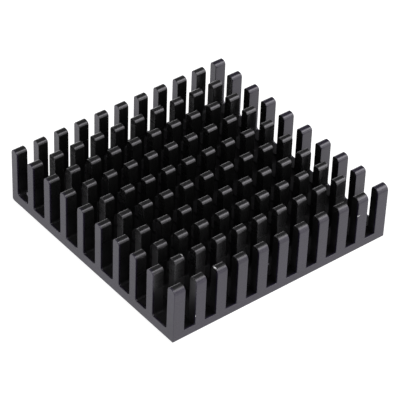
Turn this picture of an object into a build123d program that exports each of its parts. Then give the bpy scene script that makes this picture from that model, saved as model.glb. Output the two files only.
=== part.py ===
from build123d import *
import os

# Pin fin heat sink: a comb of ten fins extruded along X, then sawn across by
# ten slots, so that each fin becomes a row of eleven pins.
# Millimetres. +Z is up, the origin is the centre of the flat underside, and
# the fins stand one behind the other along +Y, the front one at -Y.

os.makedirs("parts", exist_ok=True)

# Heights above the flat underside
block_height = 9.75
base_thickness = 1.68

# The fins, and the clear gaps between them from the front to the back
front_fin_thickness = 1.63
inner_fin_thickness = 1.43
back_fin_thickness = 1.37
fin_gaps = [3.35, 2.57, 2.57, 2.91, 2.92, 2.88, 2.71, 2.87, 2.78]

# Roundings of the extruded section. The many small roots have a plain bevel
# in place of a radius, which keeps the facets few.
front_tip_radius = 0.79
tip_radius = 0.66
root_bevel = 0.22
back_root_radius = 0.6
front_edge_radius = 0.15
back_edge_radius = 0.45

# How near two corners' heights are where they count as the same
same_height = 0.001

# The sawn slots, and the pins that they leave along each fin
slot_count = 10
slot_width = 2.0
slot_bite = 0.24
pin_length = 1.78
end_pin_length = 1.99

# Where each fin stands along Y
fins = [inner_fin_thickness] * len(fin_gaps) + [back_fin_thickness]
fins[0] = front_fin_thickness
block_width = sum(fins) + sum(fin_gaps)
fin_starts = [-block_width / 2]
for fin, gap in zip(fins, fin_gaps):
    fin_starts.append(fin_starts[-1] + fin + gap)

# The saw's pitch and depth, and the length of the block that it cuts
slot_pitch = pin_length + slot_width
slot_floor = base_thickness - slot_bite
slot_depth = block_height - slot_floor
block_length = 2 * end_pin_length + slot_width + (slot_count - 1) * slot_pitch


def corners_at(outline, height):
    """The outline's corners at one height, from the front to the back."""
    level = outline.vertices().filter_by(lambda corner: abs(corner.Y - height) < same_height)
    return level.sort_by(Axis.X)


with BuildPart() as heat_sink:
    # The comb's outline: in this sketch X runs across the fins and Y is up
    with BuildSketch(Plane.YZ) as comb:
        Rectangle(block_width, base_thickness, align=(Align.CENTER, Align.MIN))
        for start, fin in zip(fin_starts, fins):
            with Locations((start, 0)):
                Rectangle(fin, block_height, align=(Align.MIN, Align.MIN))
        # Each step makes the outline anew, so the next takes its corners from it
        fillet(corners_at(comb, block_height)[:2], radius=min(front_tip_radius, 0.49 * fins[0]))
        fillet(corners_at(comb, block_height)[2:], radius=min(tip_radius, 0.49 * min(fins)))
        chamfer(corners_at(comb, base_thickness)[:-1], length=root_bevel)
        fillet(corners_at(comb, base_thickness)[-1], radius=back_root_radius)
        fillet(corners_at(comb, 0)[0], radius=front_edge_radius)
        fillet(corners_at(comb, 0)[-1], radius=back_edge_radius)
    extrude(amount=block_length / 2, both=True)

    # The slots run across every fin and a little way into the base
    with Locations((0, 0, slot_floor)):
        with GridLocations(slot_pitch, 0, slot_count, 1):
            Box(
                slot_width,
                2 * block_width,
                slot_depth,
                align=(Align.CENTER, Align.CENTER, Align.MIN),
                mode=Mode.SUBTRACT,
            )

heat_sink.part.label = "heat_sink"
export_step(heat_sink.part, "parts/heat_sink.step")
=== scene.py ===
import math

import bmesh
import bpy
from bpy.props import (
    FloatProperty,
    FloatVectorProperty,
    IntProperty,
    PointerProperty,
)
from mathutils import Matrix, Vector


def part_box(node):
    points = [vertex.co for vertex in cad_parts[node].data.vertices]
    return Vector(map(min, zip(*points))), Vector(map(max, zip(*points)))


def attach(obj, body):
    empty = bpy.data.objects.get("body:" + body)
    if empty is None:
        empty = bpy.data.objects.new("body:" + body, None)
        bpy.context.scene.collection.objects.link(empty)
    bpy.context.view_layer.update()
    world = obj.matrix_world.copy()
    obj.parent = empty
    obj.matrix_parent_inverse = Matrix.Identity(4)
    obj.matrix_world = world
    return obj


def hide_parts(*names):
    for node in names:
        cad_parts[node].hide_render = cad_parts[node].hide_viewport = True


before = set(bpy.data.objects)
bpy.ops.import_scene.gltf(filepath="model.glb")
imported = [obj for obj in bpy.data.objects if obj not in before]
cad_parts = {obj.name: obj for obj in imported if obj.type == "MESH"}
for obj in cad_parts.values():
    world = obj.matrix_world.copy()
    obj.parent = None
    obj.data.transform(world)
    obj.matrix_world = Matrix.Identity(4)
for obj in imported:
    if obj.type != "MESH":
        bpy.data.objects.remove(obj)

bl_info = {
    "name": "Pin Fin Heat Sink",
    "version": (1, 0, 0),
    "blender": (4, 5, 0),
    "location": "3D View > Sidebar > Heat Sink",
    "description": "Models and lights a black anodised pin fin heat sink",
    "category": "Add Mesh",
}

NODE = "heat_sink"
BODY = "root"
MM = 0.001

# The solid's box at rest, which the finished piece fills, but for the lean of its front fin
LOW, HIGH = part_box(NODE)
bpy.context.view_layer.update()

# Clear gaps between the fins, from the front fin to the back one
FIN_GAPS = [gap * MM for gap in (3.335, 2.59, 2.58, 2.945, 2.93, 2.88, 2.68, 2.83, 2.74)]

# How much narrower the last slots are, on their left
LAST_SLOTS = [0.06 * MM, 0.10 * MM]

# Steps in each rounding of the outline
FRONT_TIP_STEPS = 9
TIP_STEPS = 7
ROOT_STEPS = 4
BACK_ROOT_STEPS = 5
FRONT_EDGE_STEPS = 2
BACK_EDGE_STEPS = 4

# How near two places are where they count as the same
SAME_PLACE = 1e-6

# Half the thickness of the saw's burrs, and how far they stand in from the left end
BURR_HALF = 0.04 * MM
BURR_INSET = 0.045 * MM

# Depths under the tops at which the smooth tips end, the flanks begin and the foot begins
TIP_DEPTH = 0.4 * MM
FLANK_DEPTH = 1.0 * MM
FOOT_DEPTH = 2.0 * MM

# The middle part of a noise, and what it is spread over
NOISE_RANGE = (0.3, 0.7)
SKIN_TONES = (0.8, 1.2)
SKIN_UNEVENNESS = (-0.025, 0.025)
METAL_ROUGHNESS = (0.3, 0.5)

# Scale of the broad tool lines and height of the fine ones, each as a share of the other's
BROAD_LINES = 0.23
FINE_LINES = 0.5


class HeatSinkSizes(bpy.types.PropertyGroup):
    """Sizes of the extruded comb, the saw slots and their edges."""

    base_thickness: FloatProperty(
        name="Base Thickness",
        description="Height of the floor between the fins",
        default=1.68 * MM,
        unit="LENGTH",
        precision=5,
    )
    front_fin: FloatProperty(
        name="Front Fin",
        description="Thickness of the front fin",
        default=1.63 * MM,
        unit="LENGTH",
        precision=5,
    )
    inner_fin: FloatProperty(
        name="Inner Fins",
        description="Thickness of each fin between the front and the back one",
        default=1.43 * MM,
        unit="LENGTH",
        precision=5,
    )
    back_fin: FloatProperty(
        name="Back Fin",
        description="Thickness of the back fin",
        default=1.42 * MM,
        unit="LENGTH",
        precision=5,
    )
    front_tip_radius: FloatProperty(
        name="Front Tip Radius",
        description="Rounding of the front fin's top, on its open side",
        default=0.95 * MM,
        unit="LENGTH",
        precision=5,
    )
    front_drop: FloatProperty(
        name="Front Drop",
        description="How much lower the front fin is than the others",
        default=0.05 * MM,
        unit="LENGTH",
        precision=5,
    )
    front_lean: FloatProperty(
        name="Front Lean",
        description="How far the front fin's top leans out",
        default=0.08 * MM,
        unit="LENGTH",
        precision=5,
    )
    tip_radius: FloatProperty(
        name="Tip Radius",
        description="Rounding of the other fins' tops, on the side to the front",
        default=0.67 * MM,
        unit="LENGTH",
        precision=5,
    )
    tip_back_radius: FloatProperty(
        name="Tip Back Radius",
        description="Rounding of every fin's top, on the side to the back",
        default=0.57 * MM,
        unit="LENGTH",
        precision=5,
    )
    root_radius: FloatProperty(
        name="Root Radius",
        description="Rounding where a fin meets the base",
        default=0.35 * MM,
        unit="LENGTH",
        precision=5,
    )
    back_root_radius: FloatProperty(
        name="Back Root Radius",
        description="Rounding where the back fin meets the base",
        default=0.6 * MM,
        unit="LENGTH",
        precision=5,
    )
    front_edge_radius: FloatProperty(
        name="Front Edge Radius",
        description="Rounding of the base's front lower edge",
        default=0.15 * MM,
        unit="LENGTH",
        precision=5,
    )
    back_edge_radius: FloatProperty(
        name="Back Edge Radius",
        description="Rounding of the base's back lower edge",
        default=0.45 * MM,
        unit="LENGTH",
        precision=5,
    )
    slot_width: FloatProperty(
        name="Slot Width",
        description="Width of each saw slot",
        default=2.0 * MM,
        unit="LENGTH",
        precision=5,
    )
    slot_bite: FloatProperty(
        name="Slot Bite",
        description="How far the saw cuts into the base",
        default=0.24 * MM,
        unit="LENGTH",
        precision=5,
    )
    pin_length: FloatProperty(
        name="Pin Length",
        description="Length of a pin between two slots",
        default=1.78 * MM,
        unit="LENGTH",
        precision=5,
    )
    slot_count: IntProperty(
        name="Slots",
        description="How many slots cross the fins",
        default=10,
    )
    edge_break: FloatProperty(
        name="Edge Break",
        description="Width of the softened edges that tumbling and anodising leave",
        default=0.06 * MM,
        unit="LENGTH",
        precision=5,
    )


class AnodiseFinish(bpy.types.PropertyGroup):
    """Colours and gloss of the anodised skin and of the metal under it."""

    dye: FloatVectorProperty(
        name="Dye",
        description="Colour of the dyed skin between the pins",
        subtype="COLOR",
        default=(0.0085, 0.0085, 0.0085),
        min=0.0,
        max=1.0,
    )
    # Painted shade: the skin's colour is darkened at the foot of the pins, where the fins shade
    # each other
    painted_foot_shade: FloatProperty(
        name="Deep Shade",
        description="How much darker the skin is at the foot of the pins",
        default=0.7,
        min=0.0,
        max=1.0,
    )
    # Partly painted light: the open sides get a lighter colour than the dye, for the light they
    # catch, besides the skin's real violet cast
    violet_dye_and_painted_light: FloatVectorProperty(
        name="Violet Dye and Painted Light",
        description="Colour of the skin on the open sides, which has a violet cast",
        subtype="COLOR",
        default=(0.016, 0.012, 0.027),
        min=0.0,
        max=1.0,
    )
    # Partly painted light: the open sawn ends get a lighter colour than the dye, for the light
    # they catch, besides the skin's violet cast
    sawn_violet_dye_and_painted_light: FloatVectorProperty(
        name="Sawn Dye",
        description="Colour of the skin on the sawn ends of the block",
        subtype="COLOR",
        default=(0.014, 0.010, 0.030),
        min=0.0,
        max=1.0,
    )
    sheen_tint: FloatVectorProperty(
        name="Reflection Tint",
        description="Tint of what the skin reflects",
        subtype="COLOR",
        default=(0.965, 0.935, 1.0),
        min=0.0,
        max=1.0,
    )
    tip_roughness: FloatProperty(
        name="Tip Roughness",
        description="Roughness of the rounded tops, which handling keeps smooth",
        default=0.2,
        min=0.0,
        max=1.0,
    )
    drawn_roughness: FloatProperty(
        name="Drawn Roughness",
        description="Roughness of the faces that the die has drawn",
        default=0.21,
        min=0.0,
        max=1.0,
    )
    sawn_roughness: FloatProperty(
        name="Sawn Roughness",
        description="Roughness of the faces that the saw has cut",
        default=0.27,
        min=0.0,
        max=1.0,
    )
    front_dulling: FloatProperty(
        name="Front Dulling",
        description="How much rougher the front fin is than the others",
        default=0.05,
        min=0.0,
        max=1.0,
    )
    deep_roughness: FloatProperty(
        name="Deep Roughness",
        description="Roughness at the foot of the pins, where dust stays",
        default=0.65,
        min=0.0,
        max=1.0,
    )
    # Painted shade: a metallic share over the dark dye darkens the skin's reflections at the foot
    # of the pins
    painted_foot_reflection_shade: FloatProperty(
        name="Deep Dulling",
        description="How far the skin loses its gloss at the foot of the pins",
        default=0.5,
        min=0.0,
        max=1.0,
    )
    skin_ior: FloatProperty(
        name="Skin IOR",
        description="Refractive index of the oxide skin",
        default=1.65,
        min=1.0,
        max=3.0,
    )
    line_depth: FloatProperty(
        name="Line Depth",
        description="Depth of the die lines and saw marks",
        default=0.002 * MM,
        unit="LENGTH",
        precision=6,
    )
    bare_metal: FloatVectorProperty(
        name="Bare Metal",
        description="Colour of the aluminium where the skin is chipped",
        subtype="COLOR",
        default=(0.91, 0.91, 0.92),
        min=0.0,
        max=1.0,
    )


class StudioSettings(bpy.types.PropertyGroup):
    """Levels of the floor, the backdrop and the lamps."""

    floor_colour: FloatVectorProperty(
        name="Floor Colour",
        description="Colour of the pale floor",
        subtype="COLOR",
        default=(0.5, 0.5, 0.5),
        min=0.0,
        max=1.0,
    )
    floor_glow: FloatProperty(
        name="Floor Glow",
        description="What the floor adds for the eye",
        default=0.9,
        min=0.0,
    )
    mirrored_glow: FloatProperty(
        name="Mirrored Glow",
        description="What the floor adds in reflections",
        default=0.76,
        min=0.0,
    )
    front_wall: FloatProperty(
        name="Front Wall",
        description="Level of the low wall in front",
        default=1.04,
        min=0.0,
    )
    back_wall: FloatProperty(
        name="Back Wall",
        description="Level of the low wall behind",
        default=2.0,
        min=0.0,
    )
    left_strip: FloatProperty(
        name="Left Strip",
        description="Level of the narrow light on the left, which the pins' rims catch",
        default=1.4,
        min=0.0,
    )
    wall_top: FloatVectorProperty(
        name="Wall Top",
        description="Sine of the angle at which the walls begin to fade, and at which they end",
        size=2,
        default=(0.14, 0.27),
    )
    room: FloatProperty(
        name="Room",
        description="Level of the room above the walls",
        default=0.18,
        min=0.0,
    )
    side_lamp: FloatProperty(
        name="Side Lamp",
        description="Power of the broad soft lamp on the right",
        default=1.6,
        min=0.0,
        unit="POWER",
    )
    key_lamp: FloatProperty(
        name="Key Lamp",
        description="Power of the smaller lamp over the side lamp",
        default=1.24,
        min=0.0,
        unit="POWER",
    )


def sizes():
    return bpy.context.scene.heat_sink_sizes


def fin_spans():
    """Low and high Y of each fin, from the front to the back."""
    size = sizes()
    widths = [size.front_fin] + [size.inner_fin] * (len(FIN_GAPS) - 1) + [size.back_fin]
    spans = []
    start = LOW.y
    for width, gap in zip(widths, FIN_GAPS + [0.0]):
        spans.append((start, start + width))
        start += width + gap
    return spans


def slot_spans():
    """Low and high X of each saw slot, from the left to the right."""
    size = sizes()
    pitch = size.pin_length + size.slot_width
    middle = (LOW.x + HIGH.x) / 2
    first = middle - (size.slot_count - 1) * pitch / 2
    half = size.slot_width / 2
    middles = [first + i * pitch for i in range(size.slot_count)]
    offs = [0.0] * (size.slot_count - len(LAST_SLOTS)) + LAST_SLOTS
    return [(at - half + off, at + half) for at, off in zip(middles, offs)]


def pin_spans():
    """Low and high X of each pin along a fin, from the left to the right."""
    edges = [LOW.x] + [edge for slot in slot_spans() for edge in slot] + [HIGH.x]
    return list(zip(edges[::2], edges[1::2]))


def clear_selection():
    bpy.ops.object.select_all(action="DESELECT")


def activate(thing):
    clear_selection()
    thing.select_set(True)
    bpy.context.view_layer.objects.active = thing


def pick(kind, wanted):
    """Selects the edited mesh's vertices, edges or faces whose middle is wanted."""
    mesh = bpy.context.object.data
    bpy.ops.mesh.select_mode(type=kind)
    bpy.ops.mesh.select_all(action="DESELECT")
    shape = bmesh.from_edit_mesh(mesh)
    items = {"VERT": shape.verts, "EDGE": shape.edges, "FACE": shape.faces}[kind]
    for item in items:
        corners = [item] if kind == "VERT" else item.verts
        middle = sum((corner.co for corner in corners), Vector()) / len(corners)
        if wanted(middle):
            item.select_set(True)
    shape.select_flush_mode()
    bmesh.update_edit_mesh(mesh)


def near(a, b):
    return abs(a - b) < SAME_PLACE


def round_corners(wanted, radius, segments):
    """Rounds the corners of a flat outline."""
    pick("VERT", wanted)
    bpy.ops.mesh.bevel(
        offset=radius,
        segments=segments,
        profile=0.5,
        affect="VERTICES",
        clamp_overlap=False,
    )


def draw_comb():
    """The extrusion: its outline at the left end, pushed along X."""
    size = sizes()
    bpy.ops.mesh.primitive_plane_add(size=1.0)
    comb = bpy.context.object
    comb.name = "heat_sink_body"
    comb.rotation_euler = (0.0, math.pi / 2, 0.0)
    comb.scale = (size.base_thickness, HIGH.y - LOW.y, 1.0)
    comb.location = (LOW.x, (LOW.y + HIGH.y) / 2, LOW.z + size.base_thickness / 2)
    bpy.ops.object.transform_apply(location=True, rotation=True, scale=True)

    spans = fin_spans()
    floor_height = LOW.z + size.base_thickness
    bpy.ops.object.mode_set(mode="EDIT")
    for low, high in spans:
        for edge in (low, high):
            if near(edge, LOW.y) or near(edge, HIGH.y):
                continue
            bpy.ops.mesh.select_all(action="SELECT")
            bpy.ops.mesh.bisect(plane_co=(LOW.x, edge, 0.0), plane_no=(0.0, 1.0, 0.0))
    pick("EDGE", lambda at: near(at.z, floor_height) and any(a < at.y < b for a, b in spans))
    bpy.ops.mesh.extrude_region_move(
        TRANSFORM_OT_translate={"value": (0.0, 0.0, HIGH.z - floor_height)}
    )
    bpy.ops.mesh.select_all(action="SELECT")
    bpy.ops.mesh.dissolve_limited(angle_limit=math.radians(1.0))
    pick("VERT", lambda at: near(at.z, HIGH.z) and at.y < spans[1][0] - size.root_radius)
    bpy.ops.transform.translate(value=(0.0, -size.front_lean, -size.front_drop))
    fronts = [spans[0][0] - size.front_lean] + [low for low, high in spans[1:]]
    backs = [spans[0][1] - size.front_lean] + [high for low, high in spans[1:]]
    tops = HIGH.z - size.front_drop - size.edge_break
    round_corners(
        lambda at: at.z > tops and near(at.y, fronts[0]),
        size.front_tip_radius,
        FRONT_TIP_STEPS,
    )
    for edges, radius in ((backs, size.tip_back_radius), (fronts[1:], size.tip_radius)):
        round_corners(
            lambda at: at.z > tops and any(near(at.y, edge) for edge in edges),
            radius,
            TIP_STEPS,
        )
    round_corners(
        lambda at: near(at.z, floor_height) and at.y < spans[-1][0] - size.root_radius,
        size.root_radius,
        ROOT_STEPS,
    )
    round_corners(
        lambda at: near(at.z, floor_height) and near(at.y, spans[-1][0]),
        size.back_root_radius,
        BACK_ROOT_STEPS,
    )
    round_corners(
        lambda at: near(at.z, LOW.z) and at.y < 0,
        size.front_edge_radius,
        FRONT_EDGE_STEPS,
    )
    round_corners(
        lambda at: near(at.z, LOW.z) and at.y > 0,
        size.back_edge_radius,
        BACK_EDGE_STEPS,
    )
    bpy.ops.mesh.select_mode(type="FACE")
    bpy.ops.mesh.select_all(action="SELECT")
    bpy.ops.mesh.extrude_region_move(
        TRANSFORM_OT_translate={"value": (HIGH.x - LOW.x, 0.0, 0.0)}
    )
    bpy.ops.mesh.select_all(action="SELECT")
    bpy.ops.mesh.normals_make_consistent(inside=False)
    bpy.ops.object.mode_set(mode="OBJECT")
    return comb


def block(name, low, high):
    """A box between two corners."""
    bpy.ops.mesh.primitive_cube_add(size=1.0)
    box = bpy.context.object
    box.name = name
    box.scale = high - low
    box.location = (low + high) / 2
    bpy.ops.object.transform_apply(location=True, rotation=True, scale=True)
    return box


def join(things):
    activate(things[0])
    for thing in things:
        thing.select_set(True)
    bpy.ops.object.join()
    return bpy.context.object


def apply_boolean(target, tool, operation):
    """Cuts or adds the tool, whose own finish stays on the faces it leaves."""
    activate(target)
    change = target.modifiers.new(tool.name, "BOOLEAN")
    change.operation = operation
    change.solver = "EXACT"
    change.material_mode = "TRANSFER"
    change.object = tool
    bpy.ops.object.modifier_apply(modifier=change.name)
    bpy.data.objects.remove(tool)


def saw_slots(comb, sawn):
    """Cuts the slots across every fin, and gives the sawn ends their finish."""
    size = sizes()
    floor = LOW.z + size.base_thickness - size.slot_bite
    past = size.slot_width
    blades = []
    for low, high in slot_spans():
        blades.append(
            block(
                "saw_blade",
                Vector((low, LOW.y - past, floor)),
                Vector((high, HIGH.y + past, HIGH.z + past)),
            )
        )
    blade = join(blades)
    blade.data.materials.append(sawn)
    comb.data.materials.append(sawn)
    activate(comb)
    bpy.ops.object.mode_set(mode="EDIT")
    pick("FACE", lambda at: near(at.x, LOW.x) or near(at.x, HIGH.x))
    comb.active_material_index = 1
    bpy.ops.object.material_slot_assign()
    bpy.ops.object.mode_set(mode="OBJECT")
    apply_boolean(comb, blade, "DIFFERENCE")


def break_edges(comb):
    """Softens every sharp edge a little."""
    activate(comb)
    softening = comb.modifiers.new("edge_break", "BEVEL")
    softening.width = sizes().edge_break
    softening.segments = 1
    softening.limit_method = "ANGLE"
    softening.angle_limit = math.radians(40.0)
    softening.use_clamp_overlap = True
    bpy.ops.object.modifier_apply(modifier=softening.name)


def flake(name, middle, half_sizes, seed, material):
    """A small uneven lump, to cut a chip with or to leave as a burr."""
    bpy.ops.mesh.primitive_ico_sphere_add(subdivisions=2, radius=1.0)
    lump = bpy.context.object
    lump.name = name
    lump.scale = half_sizes
    lump.location = middle
    bpy.ops.object.transform_apply(location=True, rotation=True, scale=True)
    bpy.ops.object.mode_set(mode="EDIT")
    bpy.ops.mesh.select_all(action="SELECT")
    bpy.ops.transform.vertex_random(offset=0.2 * min(half_sizes), seed=seed)
    bpy.ops.object.mode_set(mode="OBJECT")
    lump.data.materials.append(material)
    return lump


def chip_skin(comb, metal):
    """Chips the skin at a few pin edges, where it shows bare metal."""
    fins, pins = fin_spans(), pin_spans()
    front = fins[0][0]
    front_top = HIGH.z - sizes().front_drop
    first_top = sum(fins[0]) / 2 - sizes().front_lean
    second_top = sum(fins[1]) / 2
    # The middle of each chip, and its half sizes in millimetres
    chips = (
        ((pins[2][0], first_top - 0.10 * MM, front_top), (0.17, 0.42, 0.17)),
        ((pins[1][1], second_top - 0.04 * MM, HIGH.z), (0.15, 0.34, 0.12)),
        ((pins[9][0] + 0.24 * MM, front, LOW.z + 6.68 * MM), (0.46, 0.09, 0.08)),
        ((pins[1][0], front, LOW.z + 3.05 * MM), (0.05, 0.05, 0.17)),
        ((LOW.x, fins[9][0] - 1.1 * MM, LOW.z), (0.05, 0.35, 0.07)),
    )
    lumps = [
        flake("chip", Vector(middle), Vector(half) * MM, seed, metal)
        for seed, (middle, half) in enumerate(chips)
    ]
    apply_boolean(comb, join(lumps), "DIFFERENCE")


def tooth(height, width, place, lean, sawn):
    """A thin pointed burr in the plane of the left end, leaning round X."""
    bpy.ops.mesh.primitive_cone_add(vertices=4, radius1=1.0, radius2=0.5, depth=1.0)
    burr = bpy.context.object
    burr.name = "burr"
    # Its foot is sunk into what it stands on
    burr.location = (0.0, 0.0, 0.3)
    bpy.ops.object.transform_apply(location=True, rotation=True, scale=True)
    burr.scale = (BURR_HALF, width, height)
    burr.rotation_euler = (lean, 0.0, 0.0)
    burr.location = (LOW.x + BURR_INSET, *place)
    bpy.ops.object.transform_apply(location=True, rotation=True, scale=True)
    burr.data.materials.append(sawn)
    return burr


def raise_burrs(comb, sawn):
    """The saw's burrs at the left end of the last gap, and one at a front pin's edge."""
    gap_front = fin_spans()[8][1]
    floor = LOW.z + sizes().base_thickness
    # Each burr's distance from the fin and rise over the floor, its height and width in
    # millimetres, and its lean in radians
    teeth = (
        (0.0, 1.96, 0.40, 0.42, -1.57),
        (0.50, 0.0, 0.22, 0.16, 0.2),
        (0.85, 0.0, 0.16, 0.12, -0.3),
    )
    burrs = []
    for away, up, height, width, lean in teeth:
        place = (gap_front + away * MM, floor + up * MM)
        burrs.append(tooth(height * MM, width * MM, place, lean, sawn))
    beside = Vector((pin_spans()[4][1] + 0.08 * MM, LOW.y + 0.06 * MM, LOW.z + 6.05 * MM))
    burrs.append(flake("burr", beside, Vector((0.16, 0.10, 0.10)) * MM, 3, sawn))
    apply_boolean(comb, join(burrs), "UNION")


def smooth_faces(comb):
    """Smooth roundings, and flat faces that stay flat."""
    activate(comb)
    bpy.ops.object.shade_smooth_by_angle(angle=math.radians(30.0))
    level = comb.modifiers.new("flat_faces", "WEIGHTED_NORMAL")
    level.mode = "FACE_AREA"
    level.weight = 50
    level.keep_sharp = True
    bpy.ops.object.modifier_apply(modifier=level.name)


def nodes_of(material):
    material.use_nodes = True
    return material.node_tree.nodes, material.node_tree.links


def new_group(name, inputs, outputs):
    """An empty shader node group with named sockets."""
    group = bpy.data.node_groups.new(name, "ShaderNodeTree")
    for label, kind, value in inputs:
        socket = group.interface.new_socket(name=label, in_out="INPUT", socket_type=kind)
        socket.default_value = value
    for label in outputs:
        group.interface.new_socket(name=label, in_out="OUTPUT", socket_type="NodeSocketFloat")
    start = group.nodes.new("NodeGroupInput")
    end = group.nodes.new("NodeGroupOutput")
    return group, start, end


def place_group(nodes, name, **values):
    """The named group as a node, with its own values."""
    placed = nodes.new("ShaderNodeGroup")
    placed.node_tree = bpy.data.node_groups[name]
    for label, value in values.items():
        placed.inputs[label.replace("_", " ")].default_value = value
    return placed


def calculate(tree, operation, first, second=0.0):
    """A Math node fed by sockets or plain numbers."""
    step = tree.nodes.new("ShaderNodeMath")
    step.operation = operation
    for socket, value in zip(step.inputs, (first, second)):
        if isinstance(value, bpy.types.NodeSocket):
            tree.links.new(value, socket)
        else:
            socket.default_value = value
    return step.outputs[0]


def span(tree, value, from_range, to_range):
    """Carries a value from one range smoothly over to another."""
    step = tree.nodes.new("ShaderNodeMapRange")
    step.interpolation_type = "SMOOTHSTEP"
    tree.links.new(value, step.inputs["Value"])
    step.inputs["From Min"].default_value = from_range[0]
    step.inputs["From Max"].default_value = from_range[1]
    step.inputs["To Min"].default_value = to_range[0]
    step.inputs["To Max"].default_value = to_range[1]
    return step.outputs["Result"]


def tool_marks_group():
    """Lines that a die or a saw leaves, with patches of gloss and tone."""
    group, start, end = new_group(
        "tool_marks",
        (
            ("Stretch", "NodeSocketVector", (1.0, 1.0, 1.0)),
            ("Line Scale", "NodeSocketFloat", 9000.0),
            ("Patch Scale", "NodeSocketFloat", 160.0),
        ),
        ("Height", "Gloss", "Tone"),
    )
    nodes, links = group.nodes, group.links
    place = nodes.new("ShaderNodeTexCoord")
    along = nodes.new("ShaderNodeMapping")
    links.new(place.outputs["Object"], along.inputs["Vector"])
    links.new(start.outputs["Stretch"], along.inputs["Scale"])
    fine = nodes.new("ShaderNodeTexNoise")
    fine.inputs["Detail"].default_value = 3.0
    broad = nodes.new("ShaderNodeTexNoise")
    broad.inputs["Detail"].default_value = 1.0
    patch = nodes.new("ShaderNodeTexNoise")
    patch.inputs["Detail"].default_value = 2.0
    links.new(along.outputs["Vector"], fine.inputs["Vector"])
    links.new(along.outputs["Vector"], broad.inputs["Vector"])
    links.new(place.outputs["Object"], patch.inputs["Vector"])
    links.new(start.outputs["Line Scale"], fine.inputs["Scale"])
    broad_scale = calculate(group, "MULTIPLY", start.outputs["Line Scale"], BROAD_LINES)
    links.new(broad_scale, broad.inputs["Scale"])
    links.new(start.outputs["Patch Scale"], patch.inputs["Scale"])
    lines = calculate(group, "MULTIPLY", fine.outputs["Fac"], FINE_LINES)
    height = calculate(group, "ADD", lines, broad.outputs["Fac"])
    links.new(height, end.inputs["Height"])
    links.new(broad.outputs["Fac"], end.inputs["Gloss"])
    links.new(patch.outputs["Fac"], end.inputs["Tone"])


def open_sides_group():
    """Tells the open sides, whose colour gets painted light, the front fin, the flanks under the
    tips and the foot, whose colour and reflections get painted shade.
    """
    size = sizes()
    group, start, end = new_group(
        "open_sides",
        (
            ("Reach", "NodeSocketFloat", HIGH.x),
            ("Skin", "NodeSocketFloat", 0.3 * MM),
            ("Ring", "NodeSocketFloat", 2.1 * MM),
            ("Far Side", "NodeSocketVector", (1.0, 0.0, 0.0)),
        ),
        ("Open", "Front", "Flank", "Deep"),
    )
    nodes, links = group.nodes, group.links
    place = nodes.new("ShaderNodeTexCoord")
    split = nodes.new("ShaderNodeSeparateXYZ")
    links.new(place.outputs["Object"], split.inputs[0])
    across = calculate(group, "ABSOLUTE", split.outputs["X"])
    along = calculate(group, "ABSOLUTE", split.outputs["Y"])
    outward = calculate(group, "MAXIMUM", across, along)
    far_side = nodes.new("ShaderNodeVectorMath")
    far_side.operation = "DOT_PRODUCT"
    links.new(place.outputs["Object"], far_side.inputs[0])
    links.new(start.outputs["Far Side"], far_side.inputs[1])
    skin_start = calculate(group, "SUBTRACT", start.outputs["Reach"], start.outputs["Skin"])
    ring_start = calculate(group, "SUBTRACT", start.outputs["Reach"], start.outputs["Ring"])
    outermost = calculate(group, "GREATER_THAN", outward, skin_start)
    ring = calculate(group, "GREATER_THAN", far_side.outputs["Value"], ring_start)
    fin_back = LOW.y + size.front_fin + size.edge_break
    links.new(calculate(group, "LESS_THAN", split.outputs["Y"], fin_back), end.inputs["Front"])
    height = split.outputs["Z"]
    flank = span(group, height, (HIGH.z - TIP_DEPTH, HIGH.z - FLANK_DEPTH), (0.0, 1.0))
    links.new(flank, end.inputs["Flank"])
    # The foot mask away from the open sides: it darkens the colour and the reflections as painted
    # shade, and roughens the skin
    foot_range = (HIGH.z - FOOT_DEPTH, LOW.z + size.base_thickness)
    low = span(group, height, foot_range, (0.0, 1.0))
    shut = calculate(group, "SUBTRACT", 1.0, outermost)
    links.new(calculate(group, "MULTIPLY", low, shut), end.inputs["Deep"])
    # The open mask, the outermost skin and the upper part of the far ring: its colour is painted
    # lighter as painted light
    upper = calculate(group, "SUBTRACT", 1.0, low)
    is_open = calculate(group, "MAXIMUM", outermost, calculate(group, "MULTIPLY", ring, upper))
    links.new(is_open, end.inputs["Open"])


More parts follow.
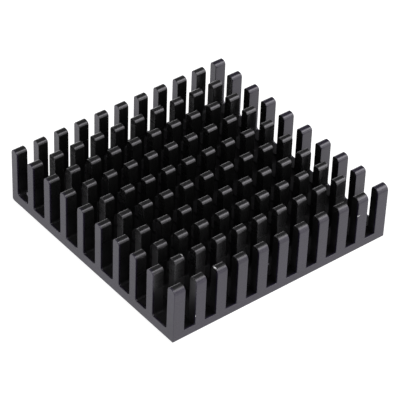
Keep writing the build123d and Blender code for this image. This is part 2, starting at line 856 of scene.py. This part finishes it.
def anodised_material(name, stretch, line_scale, far_side, violet_dye_and_painted_light, face_roughness):
    """Black dyed oxide over metal that a die or a saw has marked, painted lighter on the open
    sides as painted light and darker at the foot as painted shade.
    """
    finish = bpy.context.scene.heat_sink_finish
    material = bpy.data.materials.new(name)
    nodes, links = nodes_of(material)
    tree = material.node_tree
    marks = place_group(nodes, "tool_marks", Stretch=stretch, Line_Scale=line_scale)
    sides = place_group(nodes, "open_sides", Far_Side=far_side)
    skin = nodes["Principled BSDF"]

    # Painted light and shade: the dye turns lighter and violet on the open sides, and darker at
    # the foot of the pins
    dye = nodes.new("ShaderNodeMix")
    dye.data_type = "RGBA"
    dye.inputs["A"].default_value = (*finish.dye, 1.0)
    dye.inputs["B"].default_value = (*violet_dye_and_painted_light, 1.0)
    links.new(sides.outputs["Open"], dye.inputs["Factor"])
    patchy = nodes.new("ShaderNodeHueSaturation")
    tone = span(tree, marks.outputs["Tone"], NOISE_RANGE, SKIN_TONES)
    # Painted shade: the colour is darkened at the foot of the pins
    depth = calculate(tree, "MULTIPLY", sides.outputs["Deep"], -finish.painted_foot_shade)
    darker = calculate(tree, "MULTIPLY", tone, calculate(tree, "ADD", depth, 1.0))
    links.new(darker, patchy.inputs["Value"])
    links.new(dye.outputs["Result"], patchy.inputs["Color"])
    links.new(patchy.outputs["Color"], skin.inputs["Base Color"])

    rough = finish.tip_roughness
    for mask, more in (
        ("Front", finish.front_dulling),
        ("Flank", face_roughness - finish.tip_roughness),
        ("Deep", finish.deep_roughness - face_roughness),
    ):
        rougher = calculate(tree, "MULTIPLY", sides.outputs[mask], more)
        rough = calculate(tree, "ADD", rougher, rough)
    uneven = span(tree, marks.outputs["Gloss"], NOISE_RANGE, SKIN_UNEVENNESS)
    links.new(calculate(tree, "ADD", rough, uneven), skin.inputs["Roughness"])
    # Painted shade: a metallic share over the dark dye darkens the reflections at the foot of the
    # pins
    painted_reflection_shade = calculate(tree, "MULTIPLY", sides.outputs["Deep"], finish.painted_foot_reflection_shade)
    links.new(painted_reflection_shade, skin.inputs["Metallic"])

    lines = nodes.new("ShaderNodeBump")
    lines.inputs["Distance"].default_value = finish.line_depth
    links.new(marks.outputs["Height"], lines.inputs["Height"])
    links.new(lines.outputs["Normal"], skin.inputs["Normal"])
    skin.inputs["IOR"].default_value = finish.skin_ior
    skin.inputs["Specular Tint"].default_value = (*finish.sheen_tint, 1.0)
    return material


def bare_metal_material():
    """Bright torn aluminium under the skin."""
    finish = bpy.context.scene.heat_sink_finish
    material = bpy.data.materials.new("bare_aluminium")
    nodes, links = nodes_of(material)
    tree = material.node_tree
    marks = place_group(nodes, "tool_marks", Line_Scale=14000.0)
    metal = nodes["Principled BSDF"]
    metal.inputs["Base Color"].default_value = (*finish.bare_metal, 1.0)
    metal.inputs["Metallic"].default_value = 1.0
    rough = span(tree, marks.outputs["Gloss"], NOISE_RANGE, METAL_ROUGHNESS)
    links.new(rough, metal.inputs["Roughness"])
    torn = nodes.new("ShaderNodeBump")
    torn.inputs["Distance"].default_value = 2.0 * finish.line_depth
    links.new(marks.outputs["Height"], torn.inputs["Height"])
    links.new(torn.outputs["Normal"], metal.inputs["Normal"])
    return material


class HEATSINK_OT_pin_block(bpy.types.Operator):
    """Models the sawn comb of pins that stands for the solid"""

    bl_idname = "heat_sink.pin_block"
    bl_label = "Pin Block"

    def execute(self, context):
        clear_selection()
        tool_marks_group()
        open_sides_group()
        finish = context.scene.heat_sink_finish
        drawn = anodised_material(
            name="anodised_drawn",
            stretch=(0.02, 1.0, 1.0),
            line_scale=9000.0,
            far_side=(1.0, 0.0, 0.0),
            violet_dye_and_painted_light=finish.violet_dye_and_painted_light,
            face_roughness=finish.drawn_roughness,
        )
        sawn = anodised_material(
            name="anodised_sawn",
            stretch=(1.0, 0.05, 1.0),
            line_scale=6000.0,
            far_side=(0.0, 1.0, 0.0),
            violet_dye_and_painted_light=finish.sawn_violet_dye_and_painted_light,
            face_roughness=finish.sawn_roughness,
        )
        metal = bare_metal_material()
        comb = draw_comb()
        comb.data.materials.append(drawn)
        saw_slots(comb, sawn)
        break_edges(comb)
        raise_burrs(comb, sawn)
        chip_skin(comb, metal)
        smooth_faces(comb)
        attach(comb, BODY)
        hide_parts(NODE)
        return {"FINISHED"}


# The camera, found from the pins in the photograph
CAMERA_PLACE = Vector((-0.17243, -0.21006, 0.22586))
CAMERA_TURN = (math.radians(50.681), math.radians(-1.6375), math.radians(-38.118))
CAMERA_LENS = 210.13

# The floor's width, and the hair by which it stays under the block
FLOOR_WIDTH = 4.0
FLOOR_GAP = 0.02 * MM

# Directions over which the front wall gives way to the back one, and the strip on the
# left comes in from the side, from below and from above
WALL_TURN = (-0.2, 0.5)
STRIP_SIDE = (-0.5, -0.7)
STRIP_HEIGHTS = ((0.3, 0.38), (0.56, 0.48))

# Each lamp's place, width and height
SIDE_LAMP = ((0.42, -0.277, 0.305), 0.57, 0.58)
KEY_LAMP = ((0.43, -0.178, 0.388), 0.45, 0.39)


def floor_material():
    """A pale floor that reads white and keeps a faint shadow, and is clear from below."""
    studio = bpy.context.scene.heat_sink_studio
    material = bpy.data.materials.new("pale_floor")
    nodes, links = nodes_of(material)
    tree = material.node_tree
    nodes.clear()
    matt = nodes.new("ShaderNodeBsdfDiffuse")
    matt.inputs["Color"].default_value = (*studio.floor_colour, 1.0)
    glow = nodes.new("ShaderNodeEmission")
    rays = nodes.new("ShaderNodeLightPath")
    seen = calculate(tree, "MULTIPLY", rays.outputs["Is Camera Ray"], studio.floor_glow)
    mirrored = calculate(tree, "MULTIPLY", rays.outputs["Is Glossy Ray"], studio.mirrored_glow)
    links.new(calculate(tree, "ADD", seen, mirrored), glow.inputs["Strength"])
    both = nodes.new("ShaderNodeAddShader")
    side = nodes.new("ShaderNodeNewGeometry")
    clear = nodes.new("ShaderNodeBsdfTransparent")
    mix = nodes.new("ShaderNodeMixShader")
    out = nodes.new("ShaderNodeOutputMaterial")
    links.new(matt.outputs[0], both.inputs[0])
    links.new(glow.outputs[0], both.inputs[1])
    links.new(side.outputs["Backfacing"], mix.inputs[0])
    links.new(both.outputs[0], mix.inputs[1])
    links.new(clear.outputs[0], mix.inputs[2])
    links.new(mix.outputs[0], out.inputs["Surface"])
    return material


def studio_world():
    """White for the eye; for the rest a grey room, pale low walls and a strip on the left."""
    studio = bpy.context.scene.heat_sink_studio
    world = bpy.data.worlds.new("studio")
    bpy.context.scene.world = world
    world.use_nodes = True
    nodes, links = world.node_tree.nodes, world.node_tree.links
    nodes.clear()
    place = nodes.new("ShaderNodeTexCoord")
    split = nodes.new("ShaderNodeSeparateXYZ")
    links.new(place.outputs["Generated"], split.inputs[0])
    tree = world.node_tree
    wall = span(tree, split.outputs["Z"], studio.wall_top, (1.0, 0.0))
    levels = (studio.front_wall, studio.back_wall)
    back = span(tree, split.outputs["Y"], WALL_TURN, levels)
    pale = calculate(tree, "MULTIPLY", wall, back)
    strip = span(tree, split.outputs["X"], STRIP_SIDE, (0.0, studio.left_strip))
    for heights in STRIP_HEIGHTS:
        edge = span(tree, split.outputs["Z"], heights, (0.0, 1.0))
        strip = calculate(tree, "MULTIPLY", strip, edge)
    pale = calculate(tree, "ADD", pale, strip)
    grey = calculate(tree, "ADD", pale, studio.room)
    room = nodes.new("ShaderNodeBackground")
    room.inputs["Color"].default_value = (1.0, 1.0, 1.0, 1.0)
    white = nodes.new("ShaderNodeBackground")
    white.inputs["Color"].default_value = (1.0, 1.0, 1.0, 1.0)
    rays = nodes.new("ShaderNodeLightPath")
    mix = nodes.new("ShaderNodeMixShader")
    out = nodes.new("ShaderNodeOutputWorld")
    links.new(grey, room.inputs["Strength"])
    links.new(rays.outputs["Is Camera Ray"], mix.inputs[0])
    links.new(room.outputs[0], mix.inputs[1])
    links.new(white.outputs[0], mix.inputs[2])
    links.new(mix.outputs[0], out.inputs["Surface"])


def soft_lamp(name, place, width, height, power):
    """A rectangular soft lamp that points at the middle of the pins."""
    bpy.ops.object.light_add(type="AREA", location=place)
    lamp = bpy.context.object
    lamp.name = name
    lamp.data.shape = "RECTANGLE"
    lamp.data.size = width
    lamp.data.size_y = height
    lamp.data.energy = power
    aim = (LOW + HIGH) / 2 - Vector(place)
    lamp.rotation_euler = aim.to_track_quat("-Z", "Y").to_euler()


class HEATSINK_OT_studio(bpy.types.Operator):
    """Sets the pale floor, the soft lamps and the camera"""

    bl_idname = "heat_sink.studio"
    bl_label = "Studio"

    def execute(self, context):
        studio = context.scene.heat_sink_studio
        clear_selection()
        bpy.ops.mesh.primitive_plane_add(size=FLOOR_WIDTH, location=(0.0, 0.0, LOW.z - FLOOR_GAP))
        floor = context.object
        floor.name = "studio_floor"
        floor.data.materials.append(floor_material())
        studio_world()
        soft_lamp("side_lamp", *SIDE_LAMP, studio.side_lamp)
        soft_lamp("key_lamp", *KEY_LAMP, studio.key_lamp)
        bpy.ops.object.camera_add(location=CAMERA_PLACE, rotation=CAMERA_TURN)
        camera = context.object
        camera.name = "photo_camera"
        camera.data.lens = CAMERA_LENS
        camera.data.clip_start = 0.01
        camera.data.clip_end = 10.0
        context.scene.camera = camera
        context.scene.view_settings.view_transform = "Standard"
        return {"FINISHED"}


class HEATSINK_PT_sidebar(bpy.types.Panel):
    """Lists the pieces and their sizes"""

    bl_idname = "HEATSINK_PT_sidebar"
    bl_label = "Heat Sink"
    bl_space_type = "VIEW_3D"
    bl_region_type = "UI"
    bl_category = "Heat Sink"

    def draw(self, context):
        layout = self.layout
        for operator in OPERATORS:
            layout.operator(operator.bl_idname)
        for group in (
            context.scene.heat_sink_sizes,
            context.scene.heat_sink_finish,
            context.scene.heat_sink_studio,
        ):
            box = layout.box()
            for name in group.__annotations__:
                box.prop(group, name)


GROUPS = {
    "heat_sink_sizes": HeatSinkSizes,
    "heat_sink_finish": AnodiseFinish,
    "heat_sink_studio": StudioSettings,
}
OPERATORS = (HEATSINK_OT_pin_block, HEATSINK_OT_studio)


def register():
    for cls in (*GROUPS.values(), *OPERATORS, HEATSINK_PT_sidebar):
        bpy.utils.register_class(cls)
    for name, cls in GROUPS.items():
        setattr(bpy.types.Scene, name, PointerProperty(type=cls))


def unregister():
    for name in GROUPS:
        delattr(bpy.types.Scene, name)
    for cls in (HEATSINK_PT_sidebar, *OPERATORS, *GROUPS.values()):
        bpy.utils.unregister_class(cls)


def main():
    register()
    bpy.ops.heat_sink.pin_block()
    bpy.ops.heat_sink.studio()


if __name__ == "__main__":
    main()
